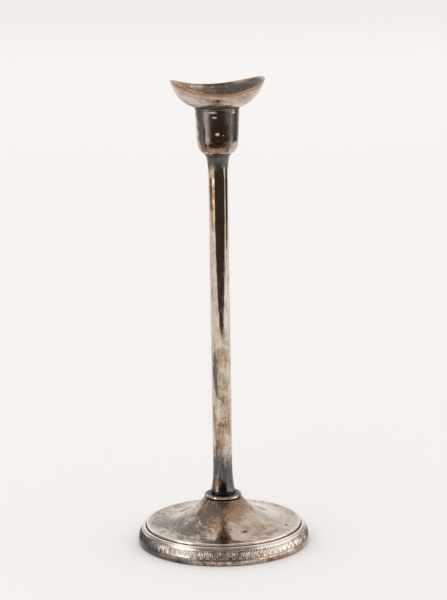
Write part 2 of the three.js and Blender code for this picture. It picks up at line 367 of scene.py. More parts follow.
def old_silver(
    name, seed, film="copper", cloud=9.0, streak=2.4, fleck=1.6, cover=0.5, depth=0.75, swing=1.0, polish=0.08
):
    """Silver plate on brass, polished, then left to tarnish. A thin film covers it in clouds cloud mm across.
    Amber, slate and soot lie where the piece's attributes put them, in streaks streak mm wide broken by
    flecks fleck mm across, and worn edges are rubbed bright. The same layers also lay painted highlights, in the
    rubbed layer, and painted dark reflections, in the amber, slate and soot layers. Under the films it is still
    a mirror, and only specks of wax are not metal. Cover is how far the film spreads, depth how much amber and
    slate hide, swing how strongly the pattern breaks them up, and polish the roughness of the mirror."""
    colours = bpy.context.scene.candlestick_colours
    material, tree, place = new_material(name)
    grain = add_node(tree, "Attribute", {}, "Vector", attribute_name="brushed")
    # Where each pattern is read, its size in mm, its detail and its bend
    patterns = {
        "broad": (place, cloud, 5.0, 0.6),
        "streaks": (grain, streak, 5.0, 0.6),
        "flecks": (place, fleck, 4.0, 0.8),
        "fine": (grain, streak / 3, 5.0, 1.0),
        "pits": (place, 1.3, 2.0, 0.0),
        "dents": (place, 9.0, 1.0, 0.0),
        "scratches": (grain, 0.7, 3.0, 0.0),
    }
    for key, (source, size_mm, detail, bend) in patterns.items():
        moved = add_node(tree, "VectorMath", {0: source, 1: (seed, -seed, seed)}, operation="ADD")
        inputs = {"Vector": moved, "Scale": 1000 / size_mm, "Detail": detail, "Distortion": bend}
        patterns[key] = add_node(tree, "TexNoise", {"Roughness": 0.62, **inputs})
    mottle = 0.0
    for key, weight in (("broad", 0.4), ("streaks", 0.35), ("flecks", 0.25)):
        mottle = add_node(tree, "Math", {0: patterns[key], 1: weight, 2: mottle}, operation="MULTIPLY_ADD")
    reach = {kind: add_node(tree, "Attribute", {}, "Fac", attribute_name=kind) for kind in TARNISH_AND_PAINTED_LIGHT}
    # Each layer: colour, place, pattern that breaks it up and how strongly, the most it hides, its dulling
    layers = (
        (getattr(colours, film), cover, mottle, 3.6, 1.0, 0.0),
        (colours.amber_and_painted_reflection, reach["amber_and_painted_reflection"], mottle, 3.8 * swing, depth, 0.1),
        (colours.slate_and_painted_reflection, reach["slate_and_painted_reflection"], mottle, 4.4 * swing, depth, 0.24),
        (colours.soot_and_painted_reflection, reach["soot_and_painted_reflection"], patterns["fine"], 2.4, 0.95, 0.1),
        (colours.soot_and_painted_reflection, -0.35, patterns["pits"], 4.0, 0.5, 0.0),
        (colours.rubbed_and_painted_highlight, reach["rubbed_and_painted_highlight"], patterns["fine"], 1.5, 0.9, 0.0),
        (colours.wax, reach["wax"], patterns["fine"], 1.2, 1.0, 0.4),
    )
    surface = colours.silver
    waver, soft_edge = 0.08, 0.35  # how far the roughness varies, and half the width of a layer's soft edge
    inputs = {0: patterns["fine"], 1: waver, 2: polish - waver / 2}
    rough = add_node(tree, "Math", inputs, operation="MULTIPLY_ADD")
    for tint, where, pattern, gain, most, dulling in layers:
        level = add_node(tree, "Math", {0: pattern, 1: gain, 2: where}, operation="MULTIPLY_ADD")
        start, end = (1 + gain) / 2 - soft_edge, (1 + gain) / 2 + soft_edge
        inputs = {"Value": level, "From Min": start, "From Max": end, "To Max": most}
        share = add_node(tree, "MapRange", inputs, interpolation_type="SMOOTHSTEP")
        surface = add_node(tree, "Mix", {0: share, 6: surface, 7: tint}, 2, data_type="RGBA")
        rough = add_node(tree, "Math", {0: share, 1: dulling, 2: rough}, operation="MULTIPLY_ADD")
    # The last layer is wax, the only one that is not metal
    metal = add_node(tree, "Math", {0: 1.0, 1: share}, operation="SUBTRACT")
    bump = {}
    for key, strength, depth_mm in (("dents", 0.3, 0.22), ("scratches", 0.12, 0.02)):
        inputs = {"Height": patterns[key], "Strength": strength, "Distance": depth_mm * MM, **bump}
        bump = {"Normal": add_node(tree, "Bump", inputs)}
    finish_material(tree, {"Base Color": surface, "Roughness": rough, "Metallic": metal, **bump})
    return material


def plain_metal(name, tint, grain_mm, roughness):
    """Machined metal gone dull: one colour broken by darker grain, with roughness that follows the grain."""
    material, tree, place = new_material(name)
    inputs = {"Vector": place, "Scale": 1000 / grain_mm, "Detail": 6.0, "Roughness": 0.65}
    grain = add_node(tree, "TexNoise", inputs)
    shade, waver = 0.45, 0.3  # how dark the grain is, and how far the roughness varies
    dark = [channel * shade for channel in tint[:3]] + [1.0]
    surface = add_node(tree, "Mix", {0: grain, 6: tint, 7: dark}, 2, data_type="RGBA")
    inputs = {0: grain, 1: waver, 2: roughness - waver / 2}
    rough = add_node(tree, "Math", inputs, operation="MULTIPLY_ADD")
    bump = add_node(tree, "Bump", {"Height": grain, "Strength": 0.2, "Distance": 0.1 * MM})
    finish_material(tree, {"Base Color": surface, "Roughness": rough, "Metallic": 1.0, "Normal": bump})
    return material


def soft_stuff(name, tint, grain_mm, depth_mm, spread, sheen):
    """A matt material of fibres or grains grain_mm across: tint times 1 plus or minus spread, and a bump."""
    material, tree, place = new_material(name)
    inputs = {"Vector": place, "Scale": 1000 / grain_mm, "Detail": 4.0, "Roughness": 0.7}
    grain = add_node(tree, "TexNoise", inputs)
    shares = (1 - spread, 1 + spread)
    dark, light = ([min(1.0, channel * share) for channel in tint[:3]] + [1.0] for share in shares)
    surface = add_node(tree, "Mix", {0: grain, 6: dark, 7: light}, 2, data_type="RGBA")
    bump = add_node(tree, "Bump", {"Height": grain, "Strength": 0.8, "Distance": depth_mm * MM})
    constants = {"Roughness": 0.95, "Sheen Weight": sheen, "Sheen Roughness": 0.5}
    finish_material(tree, {"Base Color": surface, "Normal": bump, **constants})
    return material


# ---- Foot ----


class CANDLESTICK_OT_foot_dome(bpy.types.Operator):
    """Trumpet-shaped top of the foot with a rolled edge: a turned sheet along an arc and cubic curves"""

    bl_idname = "candlestick.foot_dome"
    bl_label = "Foot dome"

    def execute(self, context):
        size = read_sizes()
        edge, top = size.dome_radius, size.dome_top
        bead, seat = 0.8, 11.9  # radius of the rolled edge, and of the flat under the collar
        hollow = size.band_top + 1.3  # lowest height of the top, inside the rolled edge
        roll = arc((edge - bead, hollow + 0.1), bead, 0, 130, 10)
        inside_roll = (45.6, hollow + 0.02)
        line = joined(
            [(edge, hollow - 0.75), (edge, hollow - 0.3)],
            roll,
            sweep(roll[-1], roll[-1] - (0.45, 0.38), (46.3, hollow + 0.02), inside_roll, 6),
            sweep(inside_roll, (34.6, hollow), (23.4, 14.8), (seat, top - FIT), 60),
            sweep((seat, top - FIT), (11.6, top), (11.3, top), (10.8, top), 3),
            [(ROD_HOLE, top)],
        )
        grid = turned(sheet(line, SHEET), WIDE)
        radius = radii(grid)
        tarnish = marks(grid, DOME_MARKS, level=radius)
        # Slate is wiped thin near the rolled edge, whose crest is rubbed and whose outside holds some dirt
        tarnish["slate_and_painted_reflection"] *= np.clip((edge - 1.2 - radius) / 2.5, 0.25, 1)
        tarnish["rubbed_and_painted_highlight"] += 0.8 * peak(radius, edge - 0.5, 0.6)
        tarnish["soot_and_painted_reflection"] += 0.15 * (radius > edge - 0.1)
        # Sheet spun over a form and polished: a mirror under a grey-brown film, mottled like a cloudy sky
        pattern = {"cloud": 10.0, "streak": 2.2, "fleck": 1.3, "swing": 1.4}
        material = old_silver("spun_silver_plate", seed=1, film="pewter", cover=0.85, depth=0.7, **pattern)
        # Wiping left slanting streaks from the collar out to the rim
        add_piece("foot_dome_sheet", "foot_dome", material, grid, tarnish, brush=(1, 1.7, 1.2))
        return {"FINISHED"}


# Tarnish on the dome, and a painted dark reflection of the stem: bearing, radius, spread along and across,
# strength
DOME_MARKS = {
    "slate_and_painted_reflection": (
        (247, 17, 7, 5, 0.6), (228, 22, 11, 8, 0.5), (236, 36, 15, 8, 0.65), (256, 40, 8, 4, 0.6),
        (208, 32, 15, 11, 0.6), (180, 38, 15, 10, 0.6), (150, 42, 20, 9, 0.5), (120, 44, 18, 6, 0.2),
        # The narrow streak at bearing 270 and radius 27 is a painted dark reflection of the stem
        (270, 27, 1.8, 8, 0.9), (323, 39, 4, 3, 0.5), (20, 34, 8, 1.2, 0.45),
    ),
    "amber_and_painted_reflection": (
        (270, 15, 26, 6, 1.1), (268, 22, 12, 6, 0.6), (269, 31, 4, 8, 0.6), (235, 28, 16, 14, 0.45),
        (292, 44, 18, 5, 0.6), (262, 43, 12, 4, 0.6), (310, 32, 14, 10, 0.4),
    ),
    "rubbed_and_painted_highlight": ((85, 38, 46, 14, 0.75), (300, 46.6, 22, 0.8, 0.4)),
    "soot_and_painted_reflection": (
        # The narrow streak at bearing 270 and radius 29 is part of the painted dark reflection of the stem
        (270, 29, 1.4, 7, 0.6), (295, 31.5, 2.2, 1.5, 0.9), (347, 40.3, 2.2, 0.9, 0.85),
        (345, 42.0, 0.8, 1.6, 0.7), (15, 38.0, 2.4, 0.8, 0.7), (42, 46.5, 3.0, 0.8, 0.75),
        (344, 29.0, 1.6, 0.8, 0.6), (270, 14, 30, 4, 0.4), (270, 11.8, 60, 0.7, 0.3),
    ),
}


class CANDLESTICK_OT_step_ring(bpy.types.Operator):
    """Bright wire between the dome and the ornamented band: a turned rounded outline"""

    bl_idname = "candlestick.step_ring"
    bl_label = "Step ring"

    def execute(self, context):
        size = read_sizes()
        inside, bottom, top = size.dome_radius + FIT, 9.6, size.band_top + 0.1
        shoulder = sweep((51.0, top), (50.8, 11.1), (50.2, 11.3), (49.5, 11.0), 8)
        outline = joined([(inside, bottom), (50.1, bottom)], shoulder, [(49.15, 10.6), (inside, 10.3)])
        grid = turned(rounded(outline, 0.08, 2), WIDE)
        tarnish = marks(grid, RING_MARKS)
        # The crest is rubbed bright, and soot lies in the groove against the dome
        crest, groove = 10.5, 49.3
        tarnish["rubbed_and_painted_highlight"] += 0.6 * np.clip((grid[..., 2] - crest) / 0.4, 0, 1)
        tarnish["rubbed_and_painted_highlight"] = np.clip(tarnish["rubbed_and_painted_highlight"], 0, 0.8)
        tarnish["soot_and_painted_reflection"] += 0.3 * (radii(grid) < groove)
        # Drawn wire, which stands proud and is rubbed at every cleaning: the brightest line of the foot
        material = old_silver("drawn_silver_wire", seed=2, cloud=6.0)
        add_piece("step_wire", "step_ring", material, grid, tarnish)
        return {"FINISHED"}


# Tarnish, with painted highlights and dark reflections among it, from here on: bearing, height, spread along and
# up, strength
RING_MARKS = {
    # Both rubbed marks are painted highlights of the two softboxes on the wire's crest
    "rubbed_and_painted_highlight": ((235, 10.8, 14, 0.8, 0.3), (320, 10.8, 18, 0.8, 0.3)),
}


def leaf_border(across, up, pitch, tall):
    """Height from 0 to 1 of the stamped leaves over one motif, across from 0 to pitch and up from 0 to tall.
    Each leaf is a ridge 1 - (d/w)^2, d the distance to its midrib and w a half-width that grows to the tip.
    Three fan upwards from the foot line, and one hangs from the top line between one fan and the next."""
    base, tip, edge_line = 0.28, 0.42, 0.3  # half-widths of a leaf, and width of the foot and top lines
    near, wide, middle = 0.45, 1.15, pitch / 2  # how far apart the fan's leaves are at base and tip
    ribs = []
    for side in (-1, 0, 1):
        ribs.append(((middle + near * side, 0.45), (middle + wide * side, tall - 0.7 - 0.5 * abs(side))))
    ribs += [((edge, tall - 0.4), (edge, 1.6)) for edge in (0, pitch)]
    height = np.zeros_like(across)
    for (x0, y0), (x1, y1) in ribs:
        dx, dy = x1 - x0, y1 - y0
        share = np.clip(((across - x0) * dx + (up - y0) * dy) / (dx * dx + dy * dy), 0, 1)
        away = np.hypot(across - x0 - share * dx, up - y0 - share * dy)
        height = np.maximum(height, 1 - (away / (base + (tip - base) * share)) ** 2)
    lines = np.maximum(1 - (up / edge_line) ** 2, 1 - ((tall - up) / edge_line) ** 2)
    return np.clip(np.maximum(height, lines), 0, 1)


class CANDLESTICK_OT_ornament_band(bpy.types.Operator):
    """Border stamped with fans of leaves: a turned strip whose face is sunk between the leaves"""

    bl_idname = "candlestick.ornament_band"
    bl_label = "Ornament band"

    def execute(self, context):
        size = read_sizes()
        bottom, top = size.rim_top + FIT, size.band_top
        face = sweep((53.75, bottom), (53.5, 6.6), (52.4, 8.8), (51.1, top), 42)
        up = run(face)
        stamped = 0.76 * up[-1]
        plain = up[:, None] > stamped
        per_motif, middle = 18, 52.6  # columns in a motif, and the radius on which the motifs are spaced
        pitch = 2 * math.pi * middle / size.motifs
        across = (np.arange(per_motif) + 0.5) * pitch / per_motif
        leaves = leaf_border(*np.meshgrid(across, up), pitch, stamped)
        leaves = np.tile(np.where(plain, 1, leaves), (1, size.motifs))
        sunk = (1 - leaves) * size.relief
        along = direction(face)
        columns = per_motif * size.motifs
        front = turned(face, columns)
        inward = (along[:, 1:] * sunk)[..., None]
        front[..., :2] -= inward * front[..., :2] / radii(front)[..., None]
        front[..., 2] += along[:, :1] * sunk
        back = turned(joined([(50.0, 9.45), (50.6, 7.4), (51.2, bottom + 1.5), (51.6, bottom)]), columns)
        grid = np.vstack([front, back])
        tarnish = marks(grid, BAND_MARKS)
        # Dirt fills the ground between the leaves, and the leaves' crests and the plain strip are rubbed
        tarnish["soot_and_painted_reflection"][: len(face)] += 0.46 * (1 - leaves)
        tarnish["rubbed_and_painted_highlight"][: len(face)] += 0.6 * np.clip(leaves - 0.6, 0, 1) + 0.3 * plain
        tarnish["rubbed_and_painted_highlight"] = np.clip(tarnish["rubbed_and_painted_highlight"], 0, 0.7)
        # Stamped strip: pale, softly frosted metal with dark dirt in every hollow
        material = old_silver("stamped_silver_plate", seed=3, cloud=8.0, cover=0.4, polish=0.18)
        add_piece("ornament_band_relief", "ornament_band", material, grid, tarnish)
        return {"FINISHED"}


BAND_MARKS = {
    "soot_and_painted_reflection": ((188, 6, 26, 5, 0.5), (238, 10.2, 2, 1.2, 0.6), (272, 6, 22, 5, 0.1), (80, 6, 30, 6, 0.15)),
    "slate_and_painted_reflection": (
        (195, 7, 24, 8, 0.8), (212, 5, 8, 3, 0.7), (272, 7, 22, 8, 0.25), (350, 6, 24, 8, 0.75),
        (60, 7, 26, 8, 0.35), (120, 7, 30, 8, 0.35),
    ),
    "amber_and_painted_reflection": ((275, 9, 22, 3, 0.35), (30, 8, 20, 5, 0.3)),
    # Both rubbed marks are painted highlights of the two softboxes
    "rubbed_and_painted_highlight": ((241, 7, 8, 4, 0.7), (315, 7, 10, 4, 0.3)),
}


class CANDLESTICK_OT_base_rim(bpy.types.Operator):
    """Half-round moulding that the candlestick stands on: a turned outline of two cubic curves"""

    bl_idname = "candlestick.base_rim"
    bl_label = "Base rim"

    def execute(self, context):
        size = read_sizes()
        radius, top, inside = size.foot_radius, size.rim_top, 50.4
        outline = joined(
            [(inside, 0), (52.6, 0)],
            sweep((53.0, 0), (53.7, 0.1), (radius, 0.8), (radius, 2.2), 8),
            sweep((radius, 2.2), (radius, 3.3), (53.8, top - 0.1), (53.2, top), 8),
            [(52.6, top), (inside, top)],
        )
        grid = turned(outline, WIDE)
        height = grid[..., 2]
        tarnish = marks(grid, RIM_MARKS)
        # The lowest half millimetre, against the table, is darkened, and soot lies in the seam under the band
        tarnish["soot_and_painted_reflection"] += 0.6 * (height < 0.5) + 0.5 * (height > top - 0.25)
        # Moulding that hands and tables have worn: duller than the dome, brown where the brass comes near
        material = old_silver("rim_silver_plate", seed=4, cloud=7.0, cover=0.7, polish=0.14)
        add_piece("base_rim_moulding", "base_rim", material, grid, tarnish)
        return {"FINISHED"}


RIM_MARKS = {
    # The slate at bearing 242 is a painted dark reflection under the left softbox's glint
    "slate_and_painted_reflection": ((206, 2, 34, 4, 1.3), (242, 2, 6, 3, 0.7), (275, 2, 26, 4, 0.25), (100, 2, 40, 4, 0.4)),
    "amber_and_painted_reflection": ((300, 2, 34, 4, 0.45), (345, 2, 20, 4, 0.5), (30, 2, 24, 4, 0.45), (262, 2, 16, 4, 0.45)),
    "soot_and_painted_reflection": (
        # The soot at bearing 238 is part of the same painted dark reflection
        (302, 1.4, 3, 1.2, 0.5), (238, 2, 4, 2.5, 0.5), (212, 2, 20, 3, 0.45), (150, 1.5, 5, 1.5, 0.5),
    ),
    # The rubbed line at bearing 235 is a painted highlight of the left softbox
    "rubbed_and_painted_highlight": ((235, 2.6, 6, 0.9, 0.3), (285, 2.4, 20, 0.8, 0.2), (318, 2.4, 16, 0.8, 0.2)),
}


class CANDLESTICK_OT_foot_collar(bpy.types.Operator):
    """Low disc with a half-round bead under the stem: a turned outline with an arc"""

    bl_idname = "candlestick.foot_collar"
    bl_label = "Foot collar"

    def execute(self, context):
        size = read_sizes()
        bead = 0.95
        bottom, top = size.dome_top + FIT, size.stem_bottom - FIT
        outline = joined(
            [(ROD_HOLE, bottom), (10.6, bottom)],
            arc((size.collar_radius - bead, bottom + 1.15), bead, -75, 150, 18),
            sweep((9.85, top - 0.6), (9.6, top - 0.35), (9.0, top - 0.1), (8.4, top), 5),
            [(ROD_HOLE, top)],
        )
        grid = turned(outline, MIDDLE)
        radius = radii(grid)
        tarnish = marks(grid, COLLAR_MARKS)
        # Soot fills the seam under the bead and the angle against the stem, and slate thins on the crest
        tarnish["soot_and_painted_reflection"] += 0.5 * (grid[..., 2] < bottom + 0.35) + 0.6 * (radius < 10.3)
        tarnish["slate_and_painted_reflection"] += 0.65 - 0.2 * (radius > size.collar_radius - 0.35)
        # Cast and turned disc, hard to reach with a cloth: dark, with a line of light on the bead
        material = old_silver("collar_silver_plate", seed=5, cloud=5.0, cover=0.6, polish=0.14)
        add_piece("foot_collar_bead", "foot_collar", material, grid, tarnish)
        return {"FINISHED"}


COLLAR_MARKS = {
    "amber_and_painted_reflection": ((240, 30, 6, 3, 0.4), (60, 30, 8, 3, 0.4)),
}


class CANDLESTICK_OT_felt_pad(bpy.types.Operator):
    """Felt disc under the foot: a turned slab with a soft edge, closed at a pole on each face"""

    bl_idname = "candlestick.felt_pad"
    bl_label = "Felt pad"

    def execute(self, context):
        radius, top = high("felt_pad").x / MM, high("felt_pad").z / MM
        edge = sweep((radius - 0.5, 0), (radius, 0), (radius, top), (radius - 0.5, top), 8)
        rings, margin = 24, 1.5
        under = np.column_stack([np.linspace(margin, radius - margin, rings), np.zeros(rings)])
        outline = joined(under, edge, under[::-1] + (0, top))
        # Pressed wool felt: fibres too fine to see one by one, so clumps 0.6 mm across are drawn
        tint = context.scene.candlestick_colours.felt
        material = soft_stuff("wool_felt", tint, grain_mm=0.6, depth_mm=0.15, spread=0.45, sheen=0.4)
        add_piece("felt_disc", "felt_pad", material, turned(outline, NARROW), closed=False)
        return {"FINISHED"}


# ---- Stem and socket ----


class CANDLESTICK_OT_stem_tube(bpy.types.Operator):
    """Drawn tube trumpeted out at both ends: a turned sheet along two cubic curves and a straight"""

    bl_idname = "candlestick.stem_tube"
    bl_label = "Stem tube"

    def execute(self, context):
        size = read_sizes()
        bottom, top, flare, straight = size.stem_bottom, size.stem_top, size.flare_radius, 6.0
        first, last = 48, 232  # heights between which the tube is straight
        heights = np.arange(first, last + 1)
        line = joined(
            [(flare, bottom)],
            sweep((flare, bottom + 0.4), (6.9, 34.5), (6.3, 39), (straight, first), 28),
            np.column_stack([np.full(len(heights), straight), heights]),
            sweep((straight, last), (straight + 0.2, 240), (6.4, 244.6), (flare, top - 0.4), 28),
            [(flare, top)],
        )
        grid = turned(sheet(line, SHEET), NARROW)
        # The foot of the stem is dark all round, up to a faded edge that slants with the bearing
        slant = 4 * (bearings(grid) - 245) / 90
        dark_foot = np.clip((64 - slant - grid[..., 2]) / 14, 0, 1.2)
        tarnish = marks(grid, STEM_MARKS)
        tarnish["slate_and_painted_reflection"] += dark_foot
        tarnish["soot_and_painted_reflection"] += 0.25 * dark_foot
        tarnish["rubbed_and_painted_highlight"] = np.clip(tarnish["rubbed_and_painted_highlight"], 0, 0.6)
        # Tube drawn through a die: the cleanest mirror, with long reflections and fine specks in the tarnish
        pattern = {"film": "straw", "streak": 3.4, "fleck": 0.7}
        material = old_silver("drawn_silver_tube", seed=6, cover=0.6, depth=0.85, polish=0.06, **pattern)
        # Tarnish runs down the stem, in streaks seven times as long as wide
        add_piece("stem_shaft", "stem_tube", material, grid, tarnish, brush=(1, 7, 0))
        return {"FINISHED"}


STEM_MARKS = {
    "slate_and_painted_reflection": (
        (229, 113, 1.6, 11, 1.4), (236, 100, 1.1, 8, 1.0), (262, 84, 4.0, 14, 0.4),
        (236, 38, 2.2, 6, -0.9), (262, 243.5, 9, 4.5, 1.0), (290, 244, 6, 3.0, 0.7),
        (274, 236, 2.0, 5, 0.6), (90, 242, 14, 5, 0.8), (90, 150, 5, 30, 0.4), (60, 80, 4, 20, 0.4),
    ),
    "amber_and_painted_reflection": (
        (255, 80, 9, 16, 0.27), (295, 76, 4, 18, 0.35), (232, 220, 2.2, 22, 0.55),
        (236, 178, 1.4, 26, 0.5), (236, 39, 2.4, 7, 1.2), (292, 110, 5, 28, 0.4), (288, 190, 0.8, 45, 0.8),
        (262, 130, 5, 16, 0.1), (270, 241, 14, 6, 0.5), (120, 100, 6, 40, 0.4),
    ),
    "soot_and_painted_reflection": (
        (270, 31.8, 40, 1.2, 0.6), (90, 31.8, 40, 1.2, 0.6), (272, 35, 3, 5, 0.6),
        (270, 246, 60, 0.8, 0.5), (252, 244, 3, 3, 0.3),
    ),
    "rubbed_and_painted_highlight": (
        # The tall narrow rubbed streaks at bearings 200, 335 and 330 are painted highlights
        (200, 215, 2.2, 60, 0.3), (335, 215, 2.4, 60, 0.3), (330, 90, 2.2, 40, 0.2),
        (300, 158, 8, 26, 0.5),
    ),
}


class CANDLESTICK_OT_socket_cup(bpy.types.Operator):
    """Candle socket with a rounded floor and spreading wall: a turned sheet along a cubic curve and a line"""

    bl_idname = "candlestick.socket_cup"
    bl_label = "Socket cup"

    def execute(self, context):
        size = read_sizes()
        bottom, rim = size.socket_bottom, size.socket_rim
        foot, floor, rings = 12.75, 255.5, 30  # radius and height at which the wall begins, and its rows
        wall = np.column_stack([np.linspace(foot, size.socket_radius, rings), np.linspace(floor, rim, rings)])
        line = joined(
            [(ROD_HOLE, bottom), (7.6, bottom)],
            sweep((8.0, bottom), (10.9, 247.6), (12.35, 250.2), (foot, floor), 24),
            wall,
        )
        grid = turned(sheet(line, SOCKET_SHEET), MIDDLE)
        tarnish = marks(grid, SOCKET_MARKS)
        # Spun cup that hot wax and flame have browned: a clean mirror between patches of thick tarnish
        pattern = {"cloud": 5.0, "streak": 1.6}
        material = old_silver("spun_silver_socket", seed=7, cover=0.7, polish=0.06, **pattern)
        add_piece("socket_shell", "socket_cup", material, grid, tarnish, brush=(1, 2.5, 0))
        return {"FINISHED"}


SOCKET_MARKS = {
    "amber_and_painted_reflection": (
        (270, 250.2, 9, 1.8, 1.5), (235, 252, 8, 3, 0.4), (300, 262, 5, 8, 0.5), (279, 263, 1.2, 7, 0.9),
        (289, 262, 1.0, 8, 0.8), (80, 252, 14, 5, 0.5),
    ),
    "slate_and_painted_reflection": (
        (196, 262, 6, 9, 0.4), (226, 271, 6, 4, 0.8), (222, 258, 2.2, 8, 0.7), (240, 262, 4, 12, 0.75),
        (328, 264, 8, 10, 1.1), (270, 271.5, 16, 3.0, 1.0), (225, 250, 4, 3, 0.3), (302, 252.5, 4, 3, 0.7),
        (90, 262, 16, 10, 0.4),
    ),
    "soot_and_painted_reflection": (
        # The soot at bearing 266 and height 253.2 is a painted dark reflection on the socket's rounded floor
        (232, 260, 0.9, 7, 0.9), (262, 262, 5, 9, 0.3), (325, 262, 6, 10, 0.3), (266, 253.2, 7, 1.8, 1.2),
        (270, 274.4, 90, 0.5, 0.4), (90, 274.4, 90, 0.5, 0.4), (270, 247.2, 60, 0.5, 0.7),
        (90, 247.2, 60, 0.5, 0.7),
    ),
    "wax": (
        (270, 260.2, 1.4, 0.9, 1.0), (286, 259.4, 0.6, 0.5, 0.8), (262, 270.4, 1.5, 0.7, 0.9),
        (258, 273.4, 3.2, 0.7, 0.8), (318, 273.0, 1.6, 0.9, 0.8), (100, 266.0, 1.2, 1.0, 0.9),
    ),
}


class CANDLESTICK_OT_socket_liner(bpy.types.Operator):
    """Loose stepped cup in the socket: a turned, rounded outline, closed at a pole on each face"""

    bl_idname = "candlestick.socket_liner"
    bl_label = "Socket liner"

    def execute(self, context):
        lowest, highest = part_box("socket_liner")
        seat, top, lip = lowest.z / MM, highest.z / MM, highest.x / MM
        narrow, wide, ledge = 11.15, 11.7, seat + 10  # inner radii below and above the ledge
        floor, lip_edge, centre = 0.6, 0.55, 0.6  # thickness of floor and lip, radius of the innermost ring
        outer = [(narrow, seat), (narrow, ledge), (wide, ledge), (wide, top - lip_edge)]
        rim = [(lip, top - lip_edge), (lip, top), (wide, top)]
        inner = [(wide, ledge + THIN_SHEET), (narrow, ledge + THIN_SHEET), (narrow, seat + floor)]
        outer = [(radius + THIN_SHEET, height) for radius, height in outer]
        outline = [(centre, seat), *outer, *rim, *inner, (centre, seat + floor)]
        # The innermost corners stay sharp, since a pole closes each face there
        steps = 4
        softened = rounded(outline, 0.18, steps)[steps + 1 : -steps - 1]
        grid = turned(np.vstack([outline[:1], softened, outline[-1:]]), NARROW)
        # Tinned brass: a grey, slightly frosted coat, wiped on hot, so its grain is coarse
        tint = context.scene.candlestick_colours.tin
        material = plain_metal("tinned_brass_liner", tint, grain_mm=5.0, roughness=0.4)
        body, slot = "liner", "tinned_brass"
        add_piece("liner_cup", "socket_liner", material, grid, body=body, closed=False)
        return {"FINISHED"}


# ---- Drip pan ----


class CANDLESTICK_OT_drip_pan(bpy.types.Operator):
    """Spun pan with a wavy rim, and its sleeve. The pan is a turned sheet. At each bearing a its heights are
    multiplied by 1 + (wave cos 2(a - twist) + lean (cos a + sin a)) / rise, and its points are moved outwards by
    (drift (cos a + sin a) - oval cos 2a) times their share of the rise"""

    bl_idname = "candlestick.drip_pan"
    bl_label = "Drip pan and sleeve"

    def execute(self, context):
        size = read_sizes()
        rise, cap_steps = size.pan_rise, 6
        line = sweep((11.8, 0), (20.8, 0.07 * rise), (27.0, 0.5 * rise), (size.pan_radius, rise), 60)
        outline = sheet(line, SHEET, cap_steps)
        grid = turned(outline, WIDE)
        angle = np.radians(bearings(grid))
        side = np.cos(angle) + np.sin(angle)
        share = grid[..., 2] / rise
        stretch = (size.pan_drift * side - size.pan_oval * np.cos(2 * angle)) * share / radii(grid)
        grid[..., :2] *= 1 + stretch[..., None]
        wave = size.pan_lean * side + size.pan_saddle * np.cos(2 * (angle - size.pan_twist))
        grid[..., 2] = size.pan_floor + share * (rise + wave)
        # The sheet's inner face is the rows from the middle of the rim's round end to that of the other end
        inner = np.zeros(grid.shape[:2])
        inner[(len(outline) + cap_steps) // 2 : -cap_steps // 2] = 1
        under = 1 - inner
        # Underneath, brown tarnish runs in a band below the rim, made strongest in front as a painted reflection
        # of the dim room, and the grey and soot at the seat are a painted dark reflection.
        # Inside, all three lie thick and even, thinner towards the rim and in the bare spots.
        band = peak(share, 0.95, 0.09) * (0.7 + 0.3 * np.cos(angle - math.radians(262)))
        seat = peak(share, 0, 0.1)
        spots, inside = marks(grid, PAN_MARKS), marks(grid, PAN_INNER_MARKS)
        bare = inside["rubbed_and_painted_highlight"] + 0.25 * np.clip((share - 0.65) / 0.3, 0, 1)
        tarnish = {
            "amber_and_painted_reflection": under * (0.15 + band * 1.2 + spots["amber_and_painted_reflection"]) + inner * (0.75 - bare),
            "slate_and_painted_reflection": under * (0.22 - band + seat + spots["slate_and_painted_reflection"]) + inner * (0.55 + inside["slate_and_painted_reflection"] - bare),
            "soot_and_painted_reflection": under * (seat + spots["soot_and_painted_reflection"]) + inner * (0.42 - bare),
            # The rim is worn bright, but not at the front
            "rubbed_and_painted_highlight": np.clip(0.4 - np.abs(share - 1.0) * 10, 0, 0.2) * (np.sin(angle) > -0.3),
        }
        # Spun sheet, handled and wiped most: copper-pink with thin brown streaks that run round the pan
        pattern = {"cloud": 8.0, "streak": 1.4, "swing": 0.8}
        material = old_silver("spun_silver_pan", seed=8, cover=0.7, **pattern)
        add_piece("drip_pan_sheet", "drip_pan", material, grid, tarnish, brush=(3, 1, 0), body="pan")
        self.add_sleeve()
        return {"FINISHED"}

    def add_sleeve(self):
        """The sleeve is a turned oblong with rounded corners"""
        lowest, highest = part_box("pan_sleeve")
        bottom, top, outside = lowest.z / MM, highest.z / MM, highest.x / MM
        inside = outside - THIN_SHEET
        outline = rounded([(inside, bottom), (outside, bottom), (outside, top), (inside, top)], 0.15)
        # Drawn tube that slides in the liner: scuffed, so its shine is soft
        material = old_silver("drawn_silver_sleeve", seed=9, film="straw", cloud=6.0, cover=0.8, polish=0.2)
        add_piece("pan_sleeve_tube", "pan_sleeve", material, turned(outline, NARROW), body="pan")


PAN_MARKS = {
    "amber_and_painted_reflection": ((265, 277.5, 16, 1.5, 0.3), (90, 284, 24, 4, 0.2)),
    "slate_and_painted_reflection": (
        # The slate at bearing 266 is a painted dark reflection under the pan's front
        (190, 282, 8, 5, 0.6), (208, 277, 13, 2.5, 0.9), (266, 277.3, 9, 1.1, 1.1), (80, 280, 24, 5, 0.3),
    ),
    # The soot at bearings 270 and 90 just above the floor is a painted dark reflection
    "soot_and_painted_reflection": ((270, 275.4, 60, 0.5, 0.6), (90, 275.4, 60, 0.5, 0.6)),
}
PAN_INNER_MARKS = {
    "slate_and_painted_reflection": ((20, 287, 20, 9, 1.3), (75, 284, 14, 4, 0.3)),
    "rubbed_and_painted_highlight": ((175, 291, 10, 3, 0.25), (105, 286, 6, 1.2, 0.3), (60, 289, 6, 1.2, 0.45)),
}


